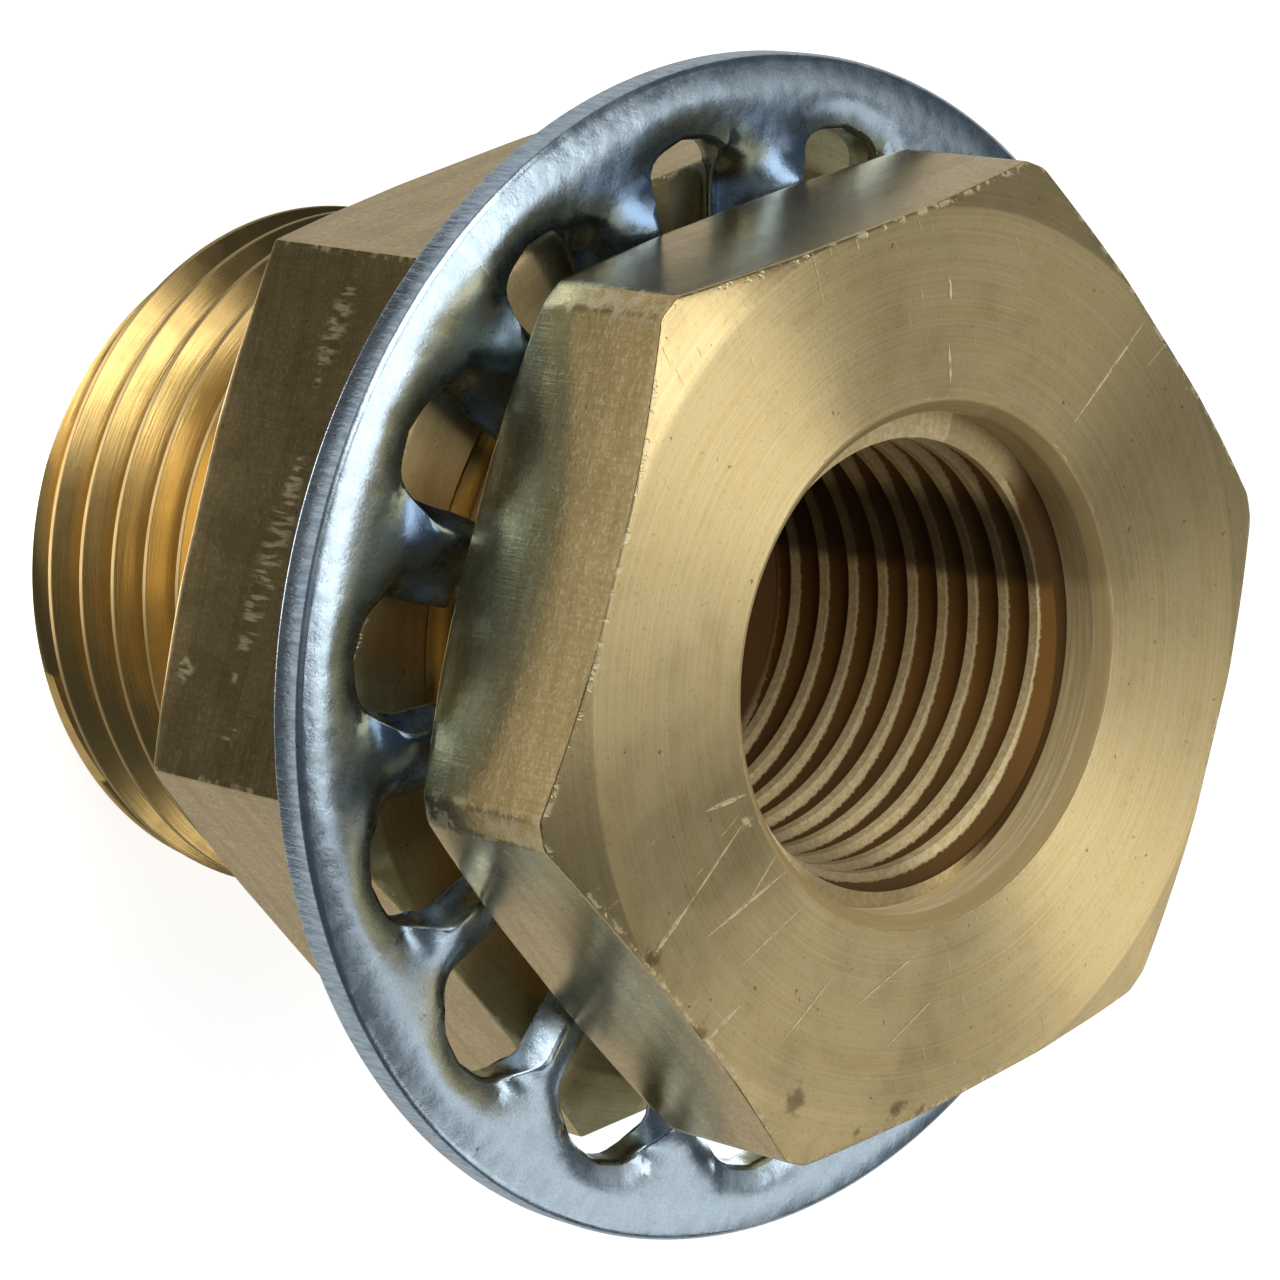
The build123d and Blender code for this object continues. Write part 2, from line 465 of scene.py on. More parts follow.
def make_washer(plating, rim):
    """The washer: a flat ring with windows, given its thickness, rounded edges and twisted teeth."""
    flat, faces = washer_sector()
    work = bmesh.new()
    for tooth in range(TOOTH_COUNT):
        angle = TOOTH_FIRST + tooth * math.tau / TOOTH_COUNT
        cos, sin = math.cos(angle), math.sin(angle)
        verts = [
            work.verts.new(((x * cos - y * sin) * MM, (x * sin + y * cos) * MM, -WASHER_THICKNESS / 2 * MM))
            for x, y in flat
        ]
        for face in faces:
            work.faces.new([verts[corner] for corner in face])
    bmesh.ops.remove_doubles(work, verts=work.verts, dist=1e-3 * MM)
    bmesh.ops.recalc_face_normals(work, faces=work.faces)
    lower = list(work.faces)
    raised = bmesh.ops.extrude_face_region(work, geom=lower, use_keep_orig=True)["geom"]
    for vert in (item for item in raised if isinstance(item, bmesh.types.BMVert)):
        vert.co.z += WASHER_THICKNESS * MM
    bmesh.ops.recalc_face_normals(work, faces=work.faces)
    edges = [edge for edge in work.edges if edge.calc_face_angle(0) > PUNCHED_EDGE_ANGLE]
    outline = []
    for edge in edges:
        a, b = (Vector((vert.co.x, vert.co.y, 0)) for vert in edge.verts)
        outline += [a.lerp(b, share) for share in (0, 0.25, 0.5, 0.75)]
    bmesh.ops.bevel(
        work,
        geom=edges,
        offset=WASHER_EDGE_ROUND * MM,
        offset_type="OFFSET",
        segments=3,
        profile=0.5,
        affect="EDGES",
    )
    for face in work.faces:
        outward = face.calc_center_median()
        if outward.xy.length > (WASHER_RADIUS - RIM_BAND) * MM and abs(face.normal.z) < 0.5:
            face.material_index = 1
    roll_edges(work, outline)
    twist_teeth(work)
    mesh = bpy.data.meshes.new("washer_toothed")
    work.to_mesh(mesh)
    work.free()
    piece = finish_mesh("washer_toothed", mesh, [plating, rim], sharp=60.0)
    piece.location = WASHER_CENTRE * MM
    return piece


class Graph:
    """Builds one material's nodes; a value is a number, a tuple or another node's output."""

    def __init__(self, name):
        self.material = bpy.data.materials.new(name)
        self.material.use_nodes = True
        self.tree = self.material.node_tree
        self.tree.nodes.clear()

    def feed(self, socket, value):
        """Links an output to a socket, or sets the socket."""
        if isinstance(value, bpy.types.NodeSocket):
            self.tree.links.new(value, socket)
        elif value is not None:
            socket.default_value = value

    def node(self, kind, inputs=None, **settings):
        """A node with some settings, and values for its inputs by name or number."""
        made = self.tree.nodes.new("ShaderNode" + kind)
        for key, value in settings.items():
            setattr(made, key, value)
        for key, value in (inputs or {}).items():
            self.feed(made.inputs[key], value)
        return made

    def math(self, operation, a, b=None, c=None):
        """One sum on numbers."""
        return self.node("Math", {0: a, 1: b, 2: c}, operation=operation).outputs[0]

    def plus(self, a, b):
        """One number added to another."""
        return self.math("ADD", a, b)

    def minus(self, a, b):
        """One number taken from another."""
        return self.math("SUBTRACT", a, b)

    def times(self, a, b):
        """One number multiplied by another."""
        return self.math("MULTIPLY", a, b)

    def most(self, a, b):
        """The larger of two numbers."""
        return self.math("MAXIMUM", a, b)

    def joined(self, x, y, z=0.0):
        """A vector from its three parts."""
        return self.node("CombineXYZ", {0: x, 1: y, 2: z}).outputs[0]

    def vector(self, operation, a, b=None):
        """One sum on vectors; a length, distance or dot product comes back as a number."""
        made = self.node("VectorMath", {0: a, 1: b}, operation=operation)
        return made.outputs["Value" if operation in ("LENGTH", "DISTANCE", "DOT_PRODUCT") else "Vector"]

    def scaled(self, a, factors):
        """A vector with each part multiplied."""
        return self.vector("MULTIPLY", a, factors)

    def noise(self, vector, scale, detail=2.0, roughness=0.5, distortion=0.0):
        """Soft random values round 0.5."""
        inputs = {"Vector": vector, "Scale": scale, "Detail": detail}
        inputs.update({"Roughness": roughness, "Distortion": distortion})
        return self.node("TexNoise", inputs).outputs[0]

    def between(self, value, low, high, to_low=0.0, to_high=1.0):
        """Maps low to to_low and high to to_high, eased and held at the ends."""
        inputs = {0: value, 1: low, 2: high, 3: to_low, 4: to_high}
        return self.node("MapRange", inputs, interpolation_type="SMOOTHSTEP").outputs[0]

    def colours(self, share, a, b, blend="MIX"):
        """A colour between two others."""
        made = self.node("Mix", {0: share, 6: a, 7: b}, data_type="RGBA", blend_type=blend)
        return made.outputs[2]

    def bump(self, height, distance, normal=None):
        """A normal tilted by a height, whose full range is a distance in millimetres."""
        return self.node("Bump", {"Height": height, "Distance": distance * MM, "Normal": normal}).outputs[0]

    def place(self):
        """The point on the piece, in millimetres."""
        return self.scaled(self.node("TexCoord").outputs["Object"], (1000.0, 1000.0, 1000.0))

    def metal(self, colour, roughness, normal, anisotropy=0.0, spread=None, metallic=1.0, gloss=0.5):
        """Finishes the material as bare metal; its marks spread highlights round the axis or across that."""
        inputs = {"Base Color": colour, "Metallic": metallic, "Roughness": roughness, "Normal": normal}
        inputs.update({"Anisotropic": anisotropy, "Specular IOR Level": gloss})
        shader = self.node("BsdfPrincipled", inputs)
        if spread:
            tangent = self.node("Tangent", direction_type="RADIAL", axis="Z")
            self.feed(shader.inputs["Tangent"], tangent.outputs[0])
            shader.inputs["Anisotropic Rotation"].default_value = 0.25 if spread == "across" else 0.0
        out = self.node("OutputMaterial")
        self.feed(out.inputs["Surface"], shader.outputs[0])
        return self.material


BRASS = (0.78, 0.595, 0.275, 1)
BRASS_PALE = (0.90, 0.77, 0.48, 1)
BRASS_GOLD = (0.80, 0.545, 0.195, 1)
BRASS_TARNISH = (0.42, 0.29, 0.115, 1)
BRASS_BROWN = (0.26, 0.125, 0.03, 1)
BRASS_SCRATCH = (0.95, 0.81, 0.50, 1)
BRASS_DARK = (0.085, 0.05, 0.02, 1)
ZINC = (0.62, 0.75, 0.84, 1)
ZINC_BLUE = (0.40, 0.52, 0.64, 1)
ZINC_NAVY_REFLECTION = (0.23, 0.35, 0.52, 1)
ZINC_DARK = (0.16, 0.18, 0.21, 1)


def polar(graph, place):
    """Distance from the axis, angle round it and height."""
    parts = graph.node("SeparateXYZ", {0: place})
    radius = graph.vector("LENGTH", graph.scaled(place, (1, 1, 0)))
    angle = graph.math("ARCTAN2", parts.outputs[1], parts.outputs[0])
    return radius, angle, parts.outputs[2]


def scratch(graph, place, start, end, width):
    """1 on a straight scratch between two points, thinner at its ends and fading at its sides."""
    start, end = Vector(start), Vector(end)
    along = end - start
    offset = graph.vector("SUBTRACT", place, tuple(start))
    travelled = graph.vector("DOT_PRODUCT", offset, tuple(along.normalized()))
    share = graph.math("DIVIDE", travelled, along.length)
    share = graph.node("Clamp", {0: share}).outputs[0]
    nearest = graph.node("VectorMath", {0: tuple(along), 3: share}, operation="SCALE").outputs[0]
    distance = graph.vector("DISTANCE", offset, nearest)
    from_middle = graph.math("ABSOLUTE", graph.minus(share, 0.5))
    reach = graph.between(from_middle, 0.5, 0.15, width * 0.3, width)
    return graph.between(distance, reach, graph.times(reach, 0.3))


# Marks that stand out on the head's face: scratches by their ends and width, stains by middle and radius
FACE_SCRATCHES = (
    ((-9.3, 4.1), (-13.4, 6.4), 0.07),
    ((-12.5, -3.6), (-11.7, -3.2), 0.10),
    ((-10.3, -2.8), (-9.1, -2.3), 0.09),
    ((11.4, -9.5), (9.6, -8.5), 0.10),
    ((9.6, -8.5), (6.7, -7.0), 0.05),
    ((10.4, -7.3), (7.7, -4.4), 0.07),
    ((8.9, -5.8), (7.3, -5.1), 0.05),
    ((11.1, -5.5), (8.5, -3.1), 0.05),
    ((13.8, -6.3), (12.2, -5.0), 0.10),
    ((13.4, -2.9), (10.7, -1.1), 0.05),
    ((11.8, 0.0), (9.1, 2.9), 0.05),
    ((13.1, 1.8), (10.3, 4.3), 0.045),
    ((6.5, -8.7), (5.7, -7.2), 0.10),
    ((6.5, -7.0), (6.6, -6.6), 0.22),
)
FACE_STAINS = (
    ((15.0, -1.5), 0.55),
    ((14.6, 3.4), 0.35),
    ((14.4, 4.6), 0.30),
    ((15.8, 1.9), 0.30),
    ((13.6, -6.6), 0.45),
    ((11.5, -9.6), 0.40),
)

# Rows of short scuffs on the nut's front flat, by the ends of each row in X and Z and its width
NUT_SCUFFS = (
    ((5.9, 17.1), (-2.4, 18.0), 0.9),
    ((-4.3, 17.8), (-8.2, 18.5), 0.8),
    ((7.9, 17.6), (7.5, 17.4), 0.6),
    ((6.3, 14.6), (5.5, 14.4), 0.7),
)


def hairs(graph, place, angle, low, high):
    """Fine straight scratches that lie one way on the face, few of them when the limits are high."""
    turned = graph.node("VectorRotate", {0: place, 3: angle}, rotation_type="Z_AXIS").outputs[0]
    field = graph.noise(graph.scaled(turned, (11.0, 0.45, 0.2)), 1.0, 1.5, 0.6)
    return graph.between(field, low, high)


def stains(graph, place, spots, ragged):
    """1 inside the stains of the front face, with ragged borders."""
    stained = 0.0
    for middle, size in spots:
        distance = graph.vector("DISTANCE", place, (*middle, BODY_LENGTH))
        shifted = graph.times(graph.minus(ragged, 0.5), 1.6)
        distance = graph.plus(distance, shifted)
        stained = graph.most(stained, graph.between(distance, size * 1.2, size * 0.1))
    return stained


def hexagon_reach(graph, place, angle):
    """How far a point lies out towards the nearest flat of a hexagon."""
    reach = 0.0
    for flat in range(3):
        towards = angle + math.radians(30 + 60 * flat)
        along = graph.vector("DOT_PRODUCT", place, (math.cos(towards), math.sin(towards), 0))
        reach = graph.most(reach, graph.math("ABSOLUTE", along))
    return reach


def knocked(graph, place, corner_radius, levels):
    """1 in broken runs along a hexagon's upright corners and the rims of its flats."""
    radius, _, height = polar(graph, place)
    near = graph.between(radius, corner_radius - 0.14, corner_radius - 0.05)
    for level in levels:
        gap = graph.math("ABSOLUTE", graph.minus(height, level))
        near = graph.most(near, graph.between(gap, 0.16, 0.08))
    return graph.times(near, graph.between(graph.noise(place, 1.6, 3.0, 0.7), 0.45, 0.62))


def turned_brass(name, flat_radius, angle=0.0, scratches=(), spots=()):
    """Brass faced in a lathe: fine rings, faint stains, stray scratches and knocked edges."""
    graph = Graph(name)
    place = graph.place()
    radius, turn, height = polar(graph, place)
    rings = graph.joined(radius, graph.times(turn, 0.9), height)
    fine = graph.noise(graph.scaled(rings, (11.0, 1.0, 0.2)), 1.0, 3.0, 0.75)
    stain = graph.noise(place, 0.5, 4.0, 0.65)
    grit = graph.noise(place, 6.0, 2.0, 0.6)
    broken = graph.noise(place, 1.8, 3.0, 0.7)
    speck = graph.between(graph.noise(place, 3.2, 3.0, 0.6), 0.68, 0.76)
    marks = graph.times(hairs(graph, place, 0.95, 0.68, 0.80), 0.5)
    marks = graph.most(marks, graph.times(hairs(graph, place, 2.2, 0.72, 0.82), 0.4))
    for start, end, width in scratches:
        line = scratch(graph, place, (*start, BODY_LENGTH), (*end, BODY_LENGTH), width)
        marks = graph.most(marks, line)
    edge = graph.between(hexagon_reach(graph, place, angle), flat_radius - 0.30, flat_radius - 0.10)
    burr = graph.between(graph.math("ABSOLUTE", graph.minus(radius, BURR_RADIUS)), 0.11, 0.05)
    edge = graph.most(edge, burr)
    torn = graph.noise(place, 4.0, 3.0, 0.7)
    marks = graph.times(marks, graph.between(torn, 0.36, 0.54))
    marks = graph.most(marks, graph.times(edge, graph.between(broken, 0.52, 0.60)))
    colour = graph.colours(graph.between(stain, 0.45, 0.75, 0.0, 0.28), BRASS, BRASS_TARNISH)
    colour = graph.colours(graph.between(fine, 0.35, 0.7, 0.0, 0.5), colour, BRASS_PALE)
    colour = graph.colours(graph.between(grit, 0.55, 0.75, 0.0, 0.3), colour, BRASS_TARNISH)
    colour = graph.colours(graph.times(speck, 0.7), colour, BRASS_DARK)
    stained = graph.times(stains(graph, place, spots, broken), 0.55)
    colour = graph.colours(stained, colour, BRASS_DARK)
    colour = graph.colours(graph.times(marks, 0.85), colour, BRASS_SCRATCH)
    relief = graph.plus(graph.times(fine, 0.7), graph.times(grit, 0.35))
    relief = graph.minus(relief, graph.times(marks, 1.2))
    normal = graph.bump(relief, 0.009)
    roughness = graph.between(stain, 0.3, 0.7, 0.36, 0.44)
    metallic = graph.between(marks, 0.0, 1.0, 1.0, 0.55)
    return graph.metal(colour, roughness, normal, 0.92, "across", metallic)


def drawn_brass(name, shine, corner_radius, levels, scuffs=()):
    """Brass as drawn hexagon bar: fine lines along the axis, dull bands, specks and rows of pale scuffs."""
    graph = Graph(name)
    place = graph.place()
    streak = graph.noise(graph.scaled(place, (10.0, 10.0, 0.7)), 1.0, 3.0, 0.7)
    patch = graph.noise(graph.scaled(place, (0.5, 0.5, 0.35)), 1.0, 3.0, 0.6)
    comb = graph.noise(graph.scaled(place, (8.0, 8.0, 1.8)), 1.0, 2.0, 0.7)
    speck = graph.between(graph.noise(place, 5.5, 2.0, 0.6), 0.66, 0.74)
    marks = knocked(graph, place, corner_radius, levels)
    rungs = graph.between(graph.noise(graph.scaled(place, (4.5, 0.5, 0.8)), 1.0, 1.0, 0.5), 0.47, 0.56)
    rungs = graph.times(rungs, graph.between(comb, 0.30, 0.50))
    for (x, z), (end_x, end_z), width in scuffs:
        row = scratch(graph, place, (x, -NUT_FLAT_RADIUS, z), (end_x, -NUT_FLAT_RADIUS, end_z), width)
        marks = graph.most(marks, graph.times(graph.times(row, rungs), 0.8))
    weave = graph.noise(graph.scaled(place, (5.0, 5.0, 8.0)), 1.0, 2.0, 0.7)
    bands = graph.noise(graph.scaled(place, (0.16, 0.16, 1.5)), 1.0, 2.0, 0.6)
    colour = graph.colours(graph.between(streak, 0.35, 0.7, 0.0, 0.35), BRASS, BRASS_TARNISH)
    colour = graph.colours(graph.between(bands, 0.45, 0.62, 0.0, 0.35), colour, BRASS_TARNISH)
    colour = graph.colours(graph.between(weave, 0.40, 0.65, 0.35, 0.0), colour, BRASS_TARNISH)
    colour = graph.colours(graph.between(weave, 0.58, 0.70, 0.0, 0.5), colour, BRASS_PALE)
    colour = graph.colours(graph.times(speck, 0.6), colour, BRASS_DARK)
    colour = graph.colours(graph.times(marks, 0.7), colour, BRASS_PALE)
    normal = graph.bump(graph.plus(streak, graph.times(weave, 0.5)), 0.008)
    roughness = graph.between(patch, 0.3, 0.7, 0.36 - shine, 0.42 - shine)
    roughness = graph.plus(roughness, graph.times(marks, 0.15))
    metallic = graph.between(marks, 0.0, 1.0, 0.94, 0.75)
    return graph.metal(colour, roughness, normal, 0.7, "round", metallic)


# The side of the threads that is darkened, by painted shade and by tarnish
SHADED_TARNISHED_SIDE = math.radians(-150.0)


def threaded_brass(name):
    """Brass cut by a threading tool: fine lines, dull crests and warm flanks, darkened on one side by
    painted shade and tarnish.
    """
    graph = Graph(name)
    place = graph.place()
    radius, angle, height = polar(graph, place)
    rings = graph.joined(radius, graph.times(angle, 1.6), height)
    fine = graph.noise(graph.scaled(rings, (9.0, 1.2, 9.0)), 1.0, 3.0, 0.7)
    stain = graph.noise(place, 0.6, 3.0, 0.6)
    speck = graph.between(graph.noise(place, 5.0, 2.0, 0.6), 0.72, 0.80)
    crest = graph.between(radius, SHANK_RADIUS - 0.05, SHANK_RADIUS - 0.01)
    colour = graph.colours(graph.between(stain, 0.4, 0.75, 0.0, 0.35), BRASS_GOLD, BRASS_TARNISH)
    colour = graph.colours(graph.between(fine, 0.45, 0.75, 0.0, 0.35), colour, BRASS)
    # Painted shade with tarnish: the colour darkens on one side of the threads
    towards_shaded_side = graph.math("COSINE", graph.minus(angle, SHADED_TARNISHED_SIDE))
    dull = graph.between(towards_shaded_side, 0.75, 0.92, 0.0, 0.75)
    colour = graph.colours(dull, colour, BRASS_TARNISH)
    colour = graph.colours(graph.times(speck, 0.4), colour, BRASS_BROWN)
    colour = graph.colours(graph.times(crest, 0.7), colour, BRASS_TARNISH)
    normal = graph.bump(fine, 0.006)
    roughness = graph.between(stain, 0.3, 0.7, 0.20, 0.27)
    roughness = graph.plus(roughness, graph.times(crest, 0.2))
    metallic = graph.between(crest, 0.0, 1.0, 1.0, 0.6)
    return graph.metal(colour, roughness, normal, 0.0, None, metallic)


# Marks inside the ports, each from and to an angle round the axis in radians: where a painted highlight
# widens the pale crests and the shoulder is bare, where painted shade darkens the flanks, and where painted
# shade lies on the thread
PORT_PAINTED_HIGHLIGHT = ((1.7, 0.8), (2.4, 2.8))
PORT_BARE = ((1.0, 0.6), (2.5, 2.8))
PORT_FLANK_SHADE = (1.6, 1.0)
PORT_SHADE_BAND = ((2.05, 2.14), (2.68, 2.46))
PORT_LOW_SHADE = ((0.75, 0.35), (-0.6, -0.1))
PORT_TOP_SHADE = (2.4, 2.8)
PORT_HIGHLIGHT_DEPTH = 0.2


def port_brass(name):
    """Brass inside the ports: pale torn crests over dull brown flanks and a turned mouth, with painted
    highlight and painted shade in sectors round the axis.
    """
    graph = Graph(name)
    place = graph.place()
    radius, angle, height = polar(graph, place)
    rings = graph.joined(radius, graph.times(angle, 3.0), height)
    fine = graph.noise(graph.scaled(rings, (10.0, 1.0, 10.0)), 1.0, 2.0, 0.6)
    grit = graph.noise(place, 5.0, 3.0, 0.65)
    from_end = graph.math("MINIMUM", graph.minus(BODY_LENGTH, height), height)
    reach = graph.times(graph.minus(from_end, PORT_SHOULDER), PORT_TAPER)
    depth = graph.plus(graph.minus(radius, PORT_CREST_RADIUS), reach)
    ragged = graph.plus(depth, graph.times(graph.minus(grit, 0.5), 0.2))
    in_thread = graph.between(from_end, PORT_SHOULDER - 0.06, PORT_SHOULDER - 0.01)
    # Painted highlight: in two sectors round the axis, on the +X and -X sides, the pale crests are widened
    # over the flanks
    painted_highlight = graph.most(*(graph.between(angle, *limits) for limits in PORT_PAINTED_HIGHLIGHT))
    highlight_widening = graph.times(painted_highlight, PORT_HIGHLIGHT_DEPTH)
    flank = graph.between(graph.minus(ragged, highlight_widening), 0.04, 0.12)
    flank = graph.times(flank, in_thread)
    flank = graph.most(flank, graph.between(from_end, PORT_DEPTH - 0.3, PORT_DEPTH))
    shoulder = graph.between(from_end, PORT_SHOULDER + 0.06, PORT_SHOULDER + 0.02)
    shoulder = graph.times(in_thread, shoulder)
    bare = graph.most(*(graph.between(angle, *limits) for limits in PORT_BARE))
    bare = graph.times(shoulder, bare)
    shoulder = graph.minus(shoulder, bare)
    flank = graph.times(flank, graph.minus(1.0, bare))
    # Painted shade: the thread darkens in a band round the axis on the -X and +Y side, on the ring where the
    # shoulder meets the thread, and on the +X side
    painted_shade = graph.times(*(graph.between(angle, *limits) for limits in PORT_SHADE_BAND))
    painted_shade = graph.times(painted_shade, graph.between(in_thread, 0.0, 1.0, 0.3, 0.85))
    painted_shade = graph.most(painted_shade, graph.times(shoulder, 0.75))
    low_from, low_to = PORT_LOW_SHADE
    low = graph.times(graph.between(angle, *low_from, 0.0, 0.6), graph.between(angle, *low_to))
    painted_shade = graph.most(painted_shade, graph.times(low, in_thread))
    lip = graph.between(from_end, PORT_MOUTH_CHAMFER + 0.02, PORT_MOUTH_CHAMFER - 0.02)
    texture = graph.math("MULTIPLY_ADD", in_thread, graph.minus(grit, fine), fine)
    colour = graph.colours(graph.between(texture, 0.35, 0.7), BRASS, BRASS_SCRATCH)
    # Painted shade: the colour darkens towards the -X side of the port
    colour = graph.colours(graph.between(angle, *PORT_TOP_SHADE, 0.0, 0.5), colour, BRASS_TARNISH)
    colour = graph.colours(graph.times(lip, 0.8), colour, BRASS_TARNISH)
    # Painted shade: the brown flanks darken on the +X side of the port
    brown = graph.colours(graph.between(angle, *PORT_FLANK_SHADE, 0.0, 0.6), BRASS_BROWN, BRASS_DARK)
    colour = graph.colours(flank, colour, brown)
    colour = graph.colours(painted_shade, colour, BRASS_DARK)
    normal = graph.bump(graph.plus(fine, grit), 0.008)
    metallic = graph.between(flank, 0.0, 1.0, 0.05, 0.2)
    roughness = graph.between(flank, 0.0, 1.0, 0.5, 0.65)
    return graph.metal(colour, roughness, normal, 0.0, None, metallic, 0.1)


# Where a dark navy reflection is painted on the washer, on one side and inwards of the outer radius
NAVY_REFLECTION_ANGLE = math.radians(-112.0)
NAVY_REFLECTION_RADII = (20.0, 19.0)


def plated_zinc(name):
    """Bright zinc plate over tumbled spring steel: a satin, finely grained face with dark nicks and a
    painted dark navy reflection on one side.
    """
    graph = Graph(name)
    place = graph.place()
    wave = graph.noise(place, 0.4, 2.0, 0.5)
    peel = graph.noise(place, 1.6, 3.0, 0.6)
    grain = graph.noise(place, 8.0, 3.0, 0.7)
    nick = graph.between(graph.noise(graph.scaled(place, (2.6, 1.6, 2.0)), 1.0, 3.0, 0.6, 0.6), 0.69, 0.76)
    relief = graph.plus(graph.times(wave, 1.2), graph.times(peel, 0.25))
    relief = graph.plus(relief, graph.times(grain, 0.10))
    normal = graph.bump(relief, 0.05)
    radius, angle, _ = polar(graph, place)
    # Painted reflection: dark navy on one side of the washer, inside the outer band
    towards_navy_reflection = graph.math("COSINE", graph.minus(angle, NAVY_REFLECTION_ANGLE))
    navy_reflection = graph.between(towards_navy_reflection, 0.25, 0.75)
    inside = graph.between(graph.plus(radius, graph.times(grain, 1.2)), *NAVY_REFLECTION_RADII)
    navy_reflection = graph.times(graph.times(navy_reflection, inside), 0.9)
    colour = graph.colours(graph.between(grain, 0.42, 0.66, 0.0, 0.4), ZINC, ZINC_BLUE)
    colour = graph.colours(navy_reflection, colour, ZINC_NAVY_REFLECTION)
    colour = graph.colours(graph.times(nick, 0.7), colour, ZINC_DARK)
    roughness = graph.between(peel, 0.3, 0.7, 0.23, 0.31)
    return graph.metal(colour, roughness, normal)


def sheared_zinc(name):
    """The washer's punched outer edge: plated, with upright shear lines."""
    graph = Graph(name)
    place = graph.place()
    _, angle, height = polar(graph, place)
    lines = graph.joined(graph.times(angle, 60.0), graph.times(height, 0.5))
    shear = graph.noise(lines, 1.6, 3.0, 0.7)
    normal = graph.bump(shear, 0.06)
    colour = graph.colours(graph.between(shear, 0.4, 0.65), ZINC, ZINC_BLUE)
    return graph.metal(colour, graph.between(shear, 0.3, 0.7, 0.22, 0.36), normal)


body = make_body(
    turned_brass("brass_face", HEAD_FLAT_RADIUS, 0.0, FACE_SCRATCHES, FACE_STAINS),
    drawn_brass("brass_head_flats", 0.18, HEAD_CORNER_RADIUS, (HEAD_BOTTOM, BODY_LENGTH)),
    threaded_brass("brass_shank"),
    port_brass("brass_port"),
)
nut = make_nut(
    turned_brass("brass_nut_face", NUT_FLAT_RADIUS, NUT_ANGLE),
    drawn_brass("brass_nut_flats", 0.1, NUT_CORNER_RADIUS, (NUT_BOTTOM, NUT_TOP), NUT_SCUFFS),
    threaded_brass("brass_nut_thread"),
)
washer = make_washer(plated_zinc("zinc_plate"), sheared_zinc("zinc_rim"))
for piece, rides_on, node, slot_name in (
    (body, "body", "coupler_body", "body_brass"),
    (nut, "nut", "lock_nut", "nut_brass"),
    (washer, "washer", "lock_washer", "washer_zinc"),
):
    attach(piece, rides_on)
    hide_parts(node)

# Camera: where the photograph was taken from, with the frame's centre on the optical axis
CAMERA_AT = Vector((8.48, -133.928, 157.086)) * MM
CAMERA_TARGET = Vector((1.031, 0.636, 18.562)) * MM
CAMERA_ROLL = math.radians(-101.30)
CAMERA_LENS = 154.74


def make_camera():
    """The camera, rolled so that the axis lies across the picture."""
    camera = bpy.data.objects.new("camera", bpy.data.cameras.new("camera"))
    bpy.context.collection.objects.link(camera)
    camera.data.lens = CAMERA_LENS
    camera.data.sensor_width = 36.0
    camera.data.sensor_fit = "AUTO"
    camera.data.clip_start = 0.005
    back = (CAMERA_AT - CAMERA_TARGET).normalized()
    level = Vector((0, 0, 1)).cross(back).normalized()
    upright = back.cross(level)
    up = upright * math.cos(CAMERA_ROLL) + level * math.sin(CAMERA_ROLL)
    right = up.cross(back)
    camera.matrix_world = Matrix((right, up, back)).transposed().to_4x4()
    camera.location = CAMERA_AT
    bpy.context.scene.camera = camera


def area_light(name, at, target, size, radiance):
    """A softbox of a given size, in metres, and brightness, facing the target."""
    lamp = bpy.data.lights.new(name, "AREA")
    lamp.shape = "RECTANGLE"
    lamp.size, lamp.size_y = size
    lamp.energy = radiance * math.pi * size[0] * size[1]
    holder = bpy.data.objects.new(name, lamp)
    bpy.context.collection.objects.link(holder)
    holder.location = at
    holder.rotation_euler = (Vector(target) - Vector(at)).to_track_quat("-Z", "Y").to_euler()


# Studio: what the camera sees of the floor, and what the metal sees of it and of the room
FLOOR_HALF_SIZE = 1.2
FLOOR_DROP = 0.3
FLOOR_GLOW = 0.8
FLOOR_IN_METAL = 0.5
FLOOR_IN_METAL_FRONT = 0.06
FLOOR_FRONT = (-12.0, -27.0)
FLOOR_SIDE = (24.0, 36.0)
FLOOR_FAR = 0.55
FLOOR_FAR_FRONT = (-39.0, -43.0)
FLOOR_UNDER = 3.0
FLOOR_UNDER_FRONT = (-25.0, -20.0)
FLOOR_UNDER_SIDE = (10.0, 4.0)
ROOM_COLOUR = (0.75, 0.86, 1.0, 1)
ROOM_LIGHT = 0.07


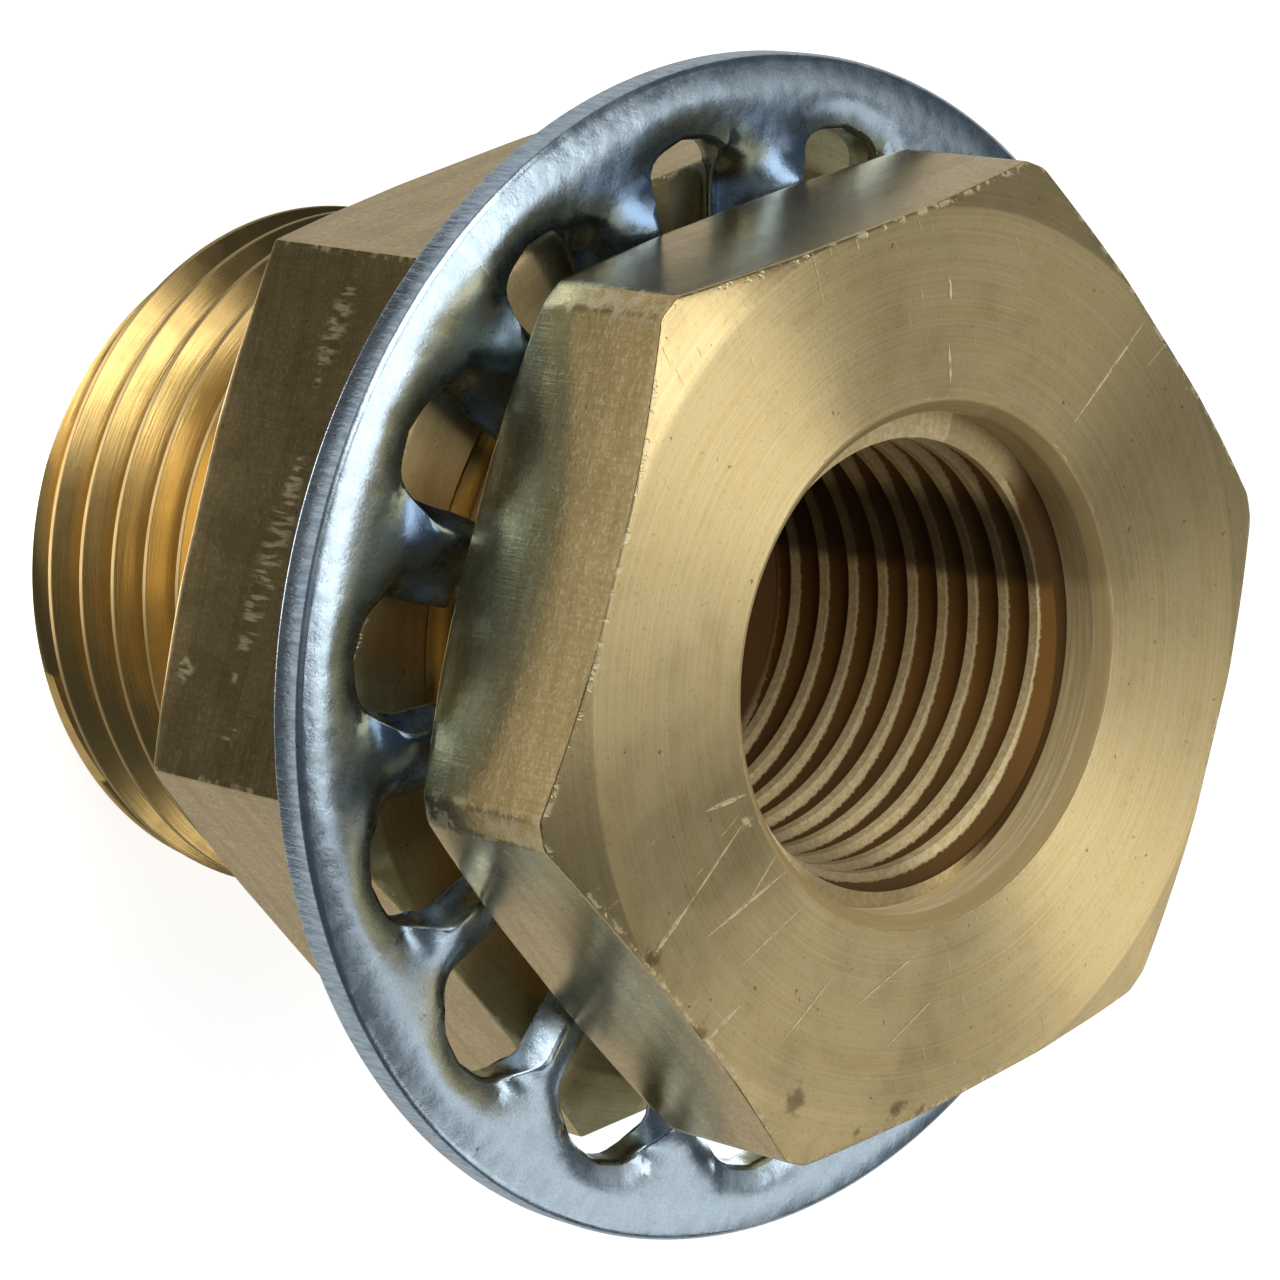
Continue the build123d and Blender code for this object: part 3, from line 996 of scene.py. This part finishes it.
def make_floor():
    """A white floor that shows the part's shadow and looks dim in front when mirrored in the metal."""
    half = FLOOR_HALF_SIZE
    corners = [(-half, -half, 0), (half, -half, 0), (half, half, 0), (-half, half, 0)]
    mesh = bpy.data.meshes.new("floor")
    mesh.from_pydata(corners, [], [(0, 1, 2, 3)])
    floor = bpy.data.objects.new("floor", mesh)
    bpy.context.collection.objects.link(floor)
    floor.location.z = -FLOOR_DROP * MM
    graph = Graph("floor_white")
    path = graph.node("LightPath").outputs
    place = graph.node("SeparateXYZ", {0: graph.place()})
    front = graph.between(place.outputs[1], *FLOOR_FRONT)
    sideways = graph.math("ABSOLUTE", place.outputs[0])
    side = graph.between(sideways, *FLOOR_SIDE)
    dim = graph.minus(front, graph.times(front, side))
    mirrored = graph.between(dim, 0.0, 1.0, FLOOR_IN_METAL, FLOOR_IN_METAL_FRONT)
    far = graph.between(place.outputs[1], *FLOOR_FAR_FRONT, 0.0, FLOOR_FAR)
    mirrored = graph.most(mirrored, far)
    under = graph.between(place.outputs[1], *FLOOR_UNDER_FRONT)
    under = graph.times(under, graph.between(sideways, *FLOOR_UNDER_SIDE))
    mirrored = graph.most(mirrored, graph.times(under, FLOOR_UNDER))
    glow = graph.times(path["Is Camera Ray"], FLOOR_GLOW)
    in_metal = graph.most(path["Is Glossy Ray"], path["Is Transmission Ray"])
    glow = graph.plus(glow, graph.times(in_metal, mirrored))
    lit = graph.colours(in_metal, (0.8, 0.8, 0.8, 1), (0, 0, 0, 1))
    matt = graph.node("BsdfDiffuse", {"Color": lit})
    shine = graph.node("Emission", {"Strength": glow})
    both = graph.node("AddShader", {0: matt.outputs[0], 1: shine.outputs[0]})
    graph.node("OutputMaterial", {"Surface": both.outputs[0]})
    mesh.materials.append(graph.material)


def make_world():
    """A dim cool room, white where the camera looks past the floor."""
    world = bpy.data.worlds.new("studio")
    world.use_nodes = True
    nodes, links = world.node_tree.nodes, world.node_tree.links
    room = nodes["Background"]
    room.inputs["Color"].default_value = ROOM_COLOUR
    strength = nodes.new("ShaderNodeMapRange")
    strength.inputs[3].default_value = ROOM_LIGHT
    strength.inputs[4].default_value = 1.0
    links.new(nodes.new("ShaderNodeLightPath").outputs["Is Camera Ray"], strength.inputs[0])
    links.new(strength.outputs[0], room.inputs["Strength"])
    bpy.context.scene.world = world


# Softboxes: name, place and target in metres, size in metres, and brightness
PART_MIDDLE = (0, 0, 0.02)
LAMPS = (
    ("key", (-0.10, 0.07, 0.47), PART_MIDDLE, (0.36, 0.28), 1.75),
    ("top", (-0.22, 0.37, 0.45), PART_MIDDLE, (0.20, 0.20), 0.3),
    ("back", (0.19, 0.36, 0.33), (0.19, 0, 0.02), (0.42, 0.28), 0.75),
    ("front", (-0.29, -0.26, 0.33), PART_MIDDLE, (0.36, 0.36), 2.6),
    ("fill", (0.01, -0.40, 0.40), PART_MIDDLE, (0.30, 0.30), 0.12),
    ("side", (0.37, 0.18, 0.32), PART_MIDDLE, (0.18, 0.18), 1.1),
)

make_camera()
make_floor()
make_world()
for lamp in LAMPS:
    area_light(*lamp)

scene = bpy.context.scene
scene.view_settings.view_transform = "Standard"

bpy.context.view_layer.update()
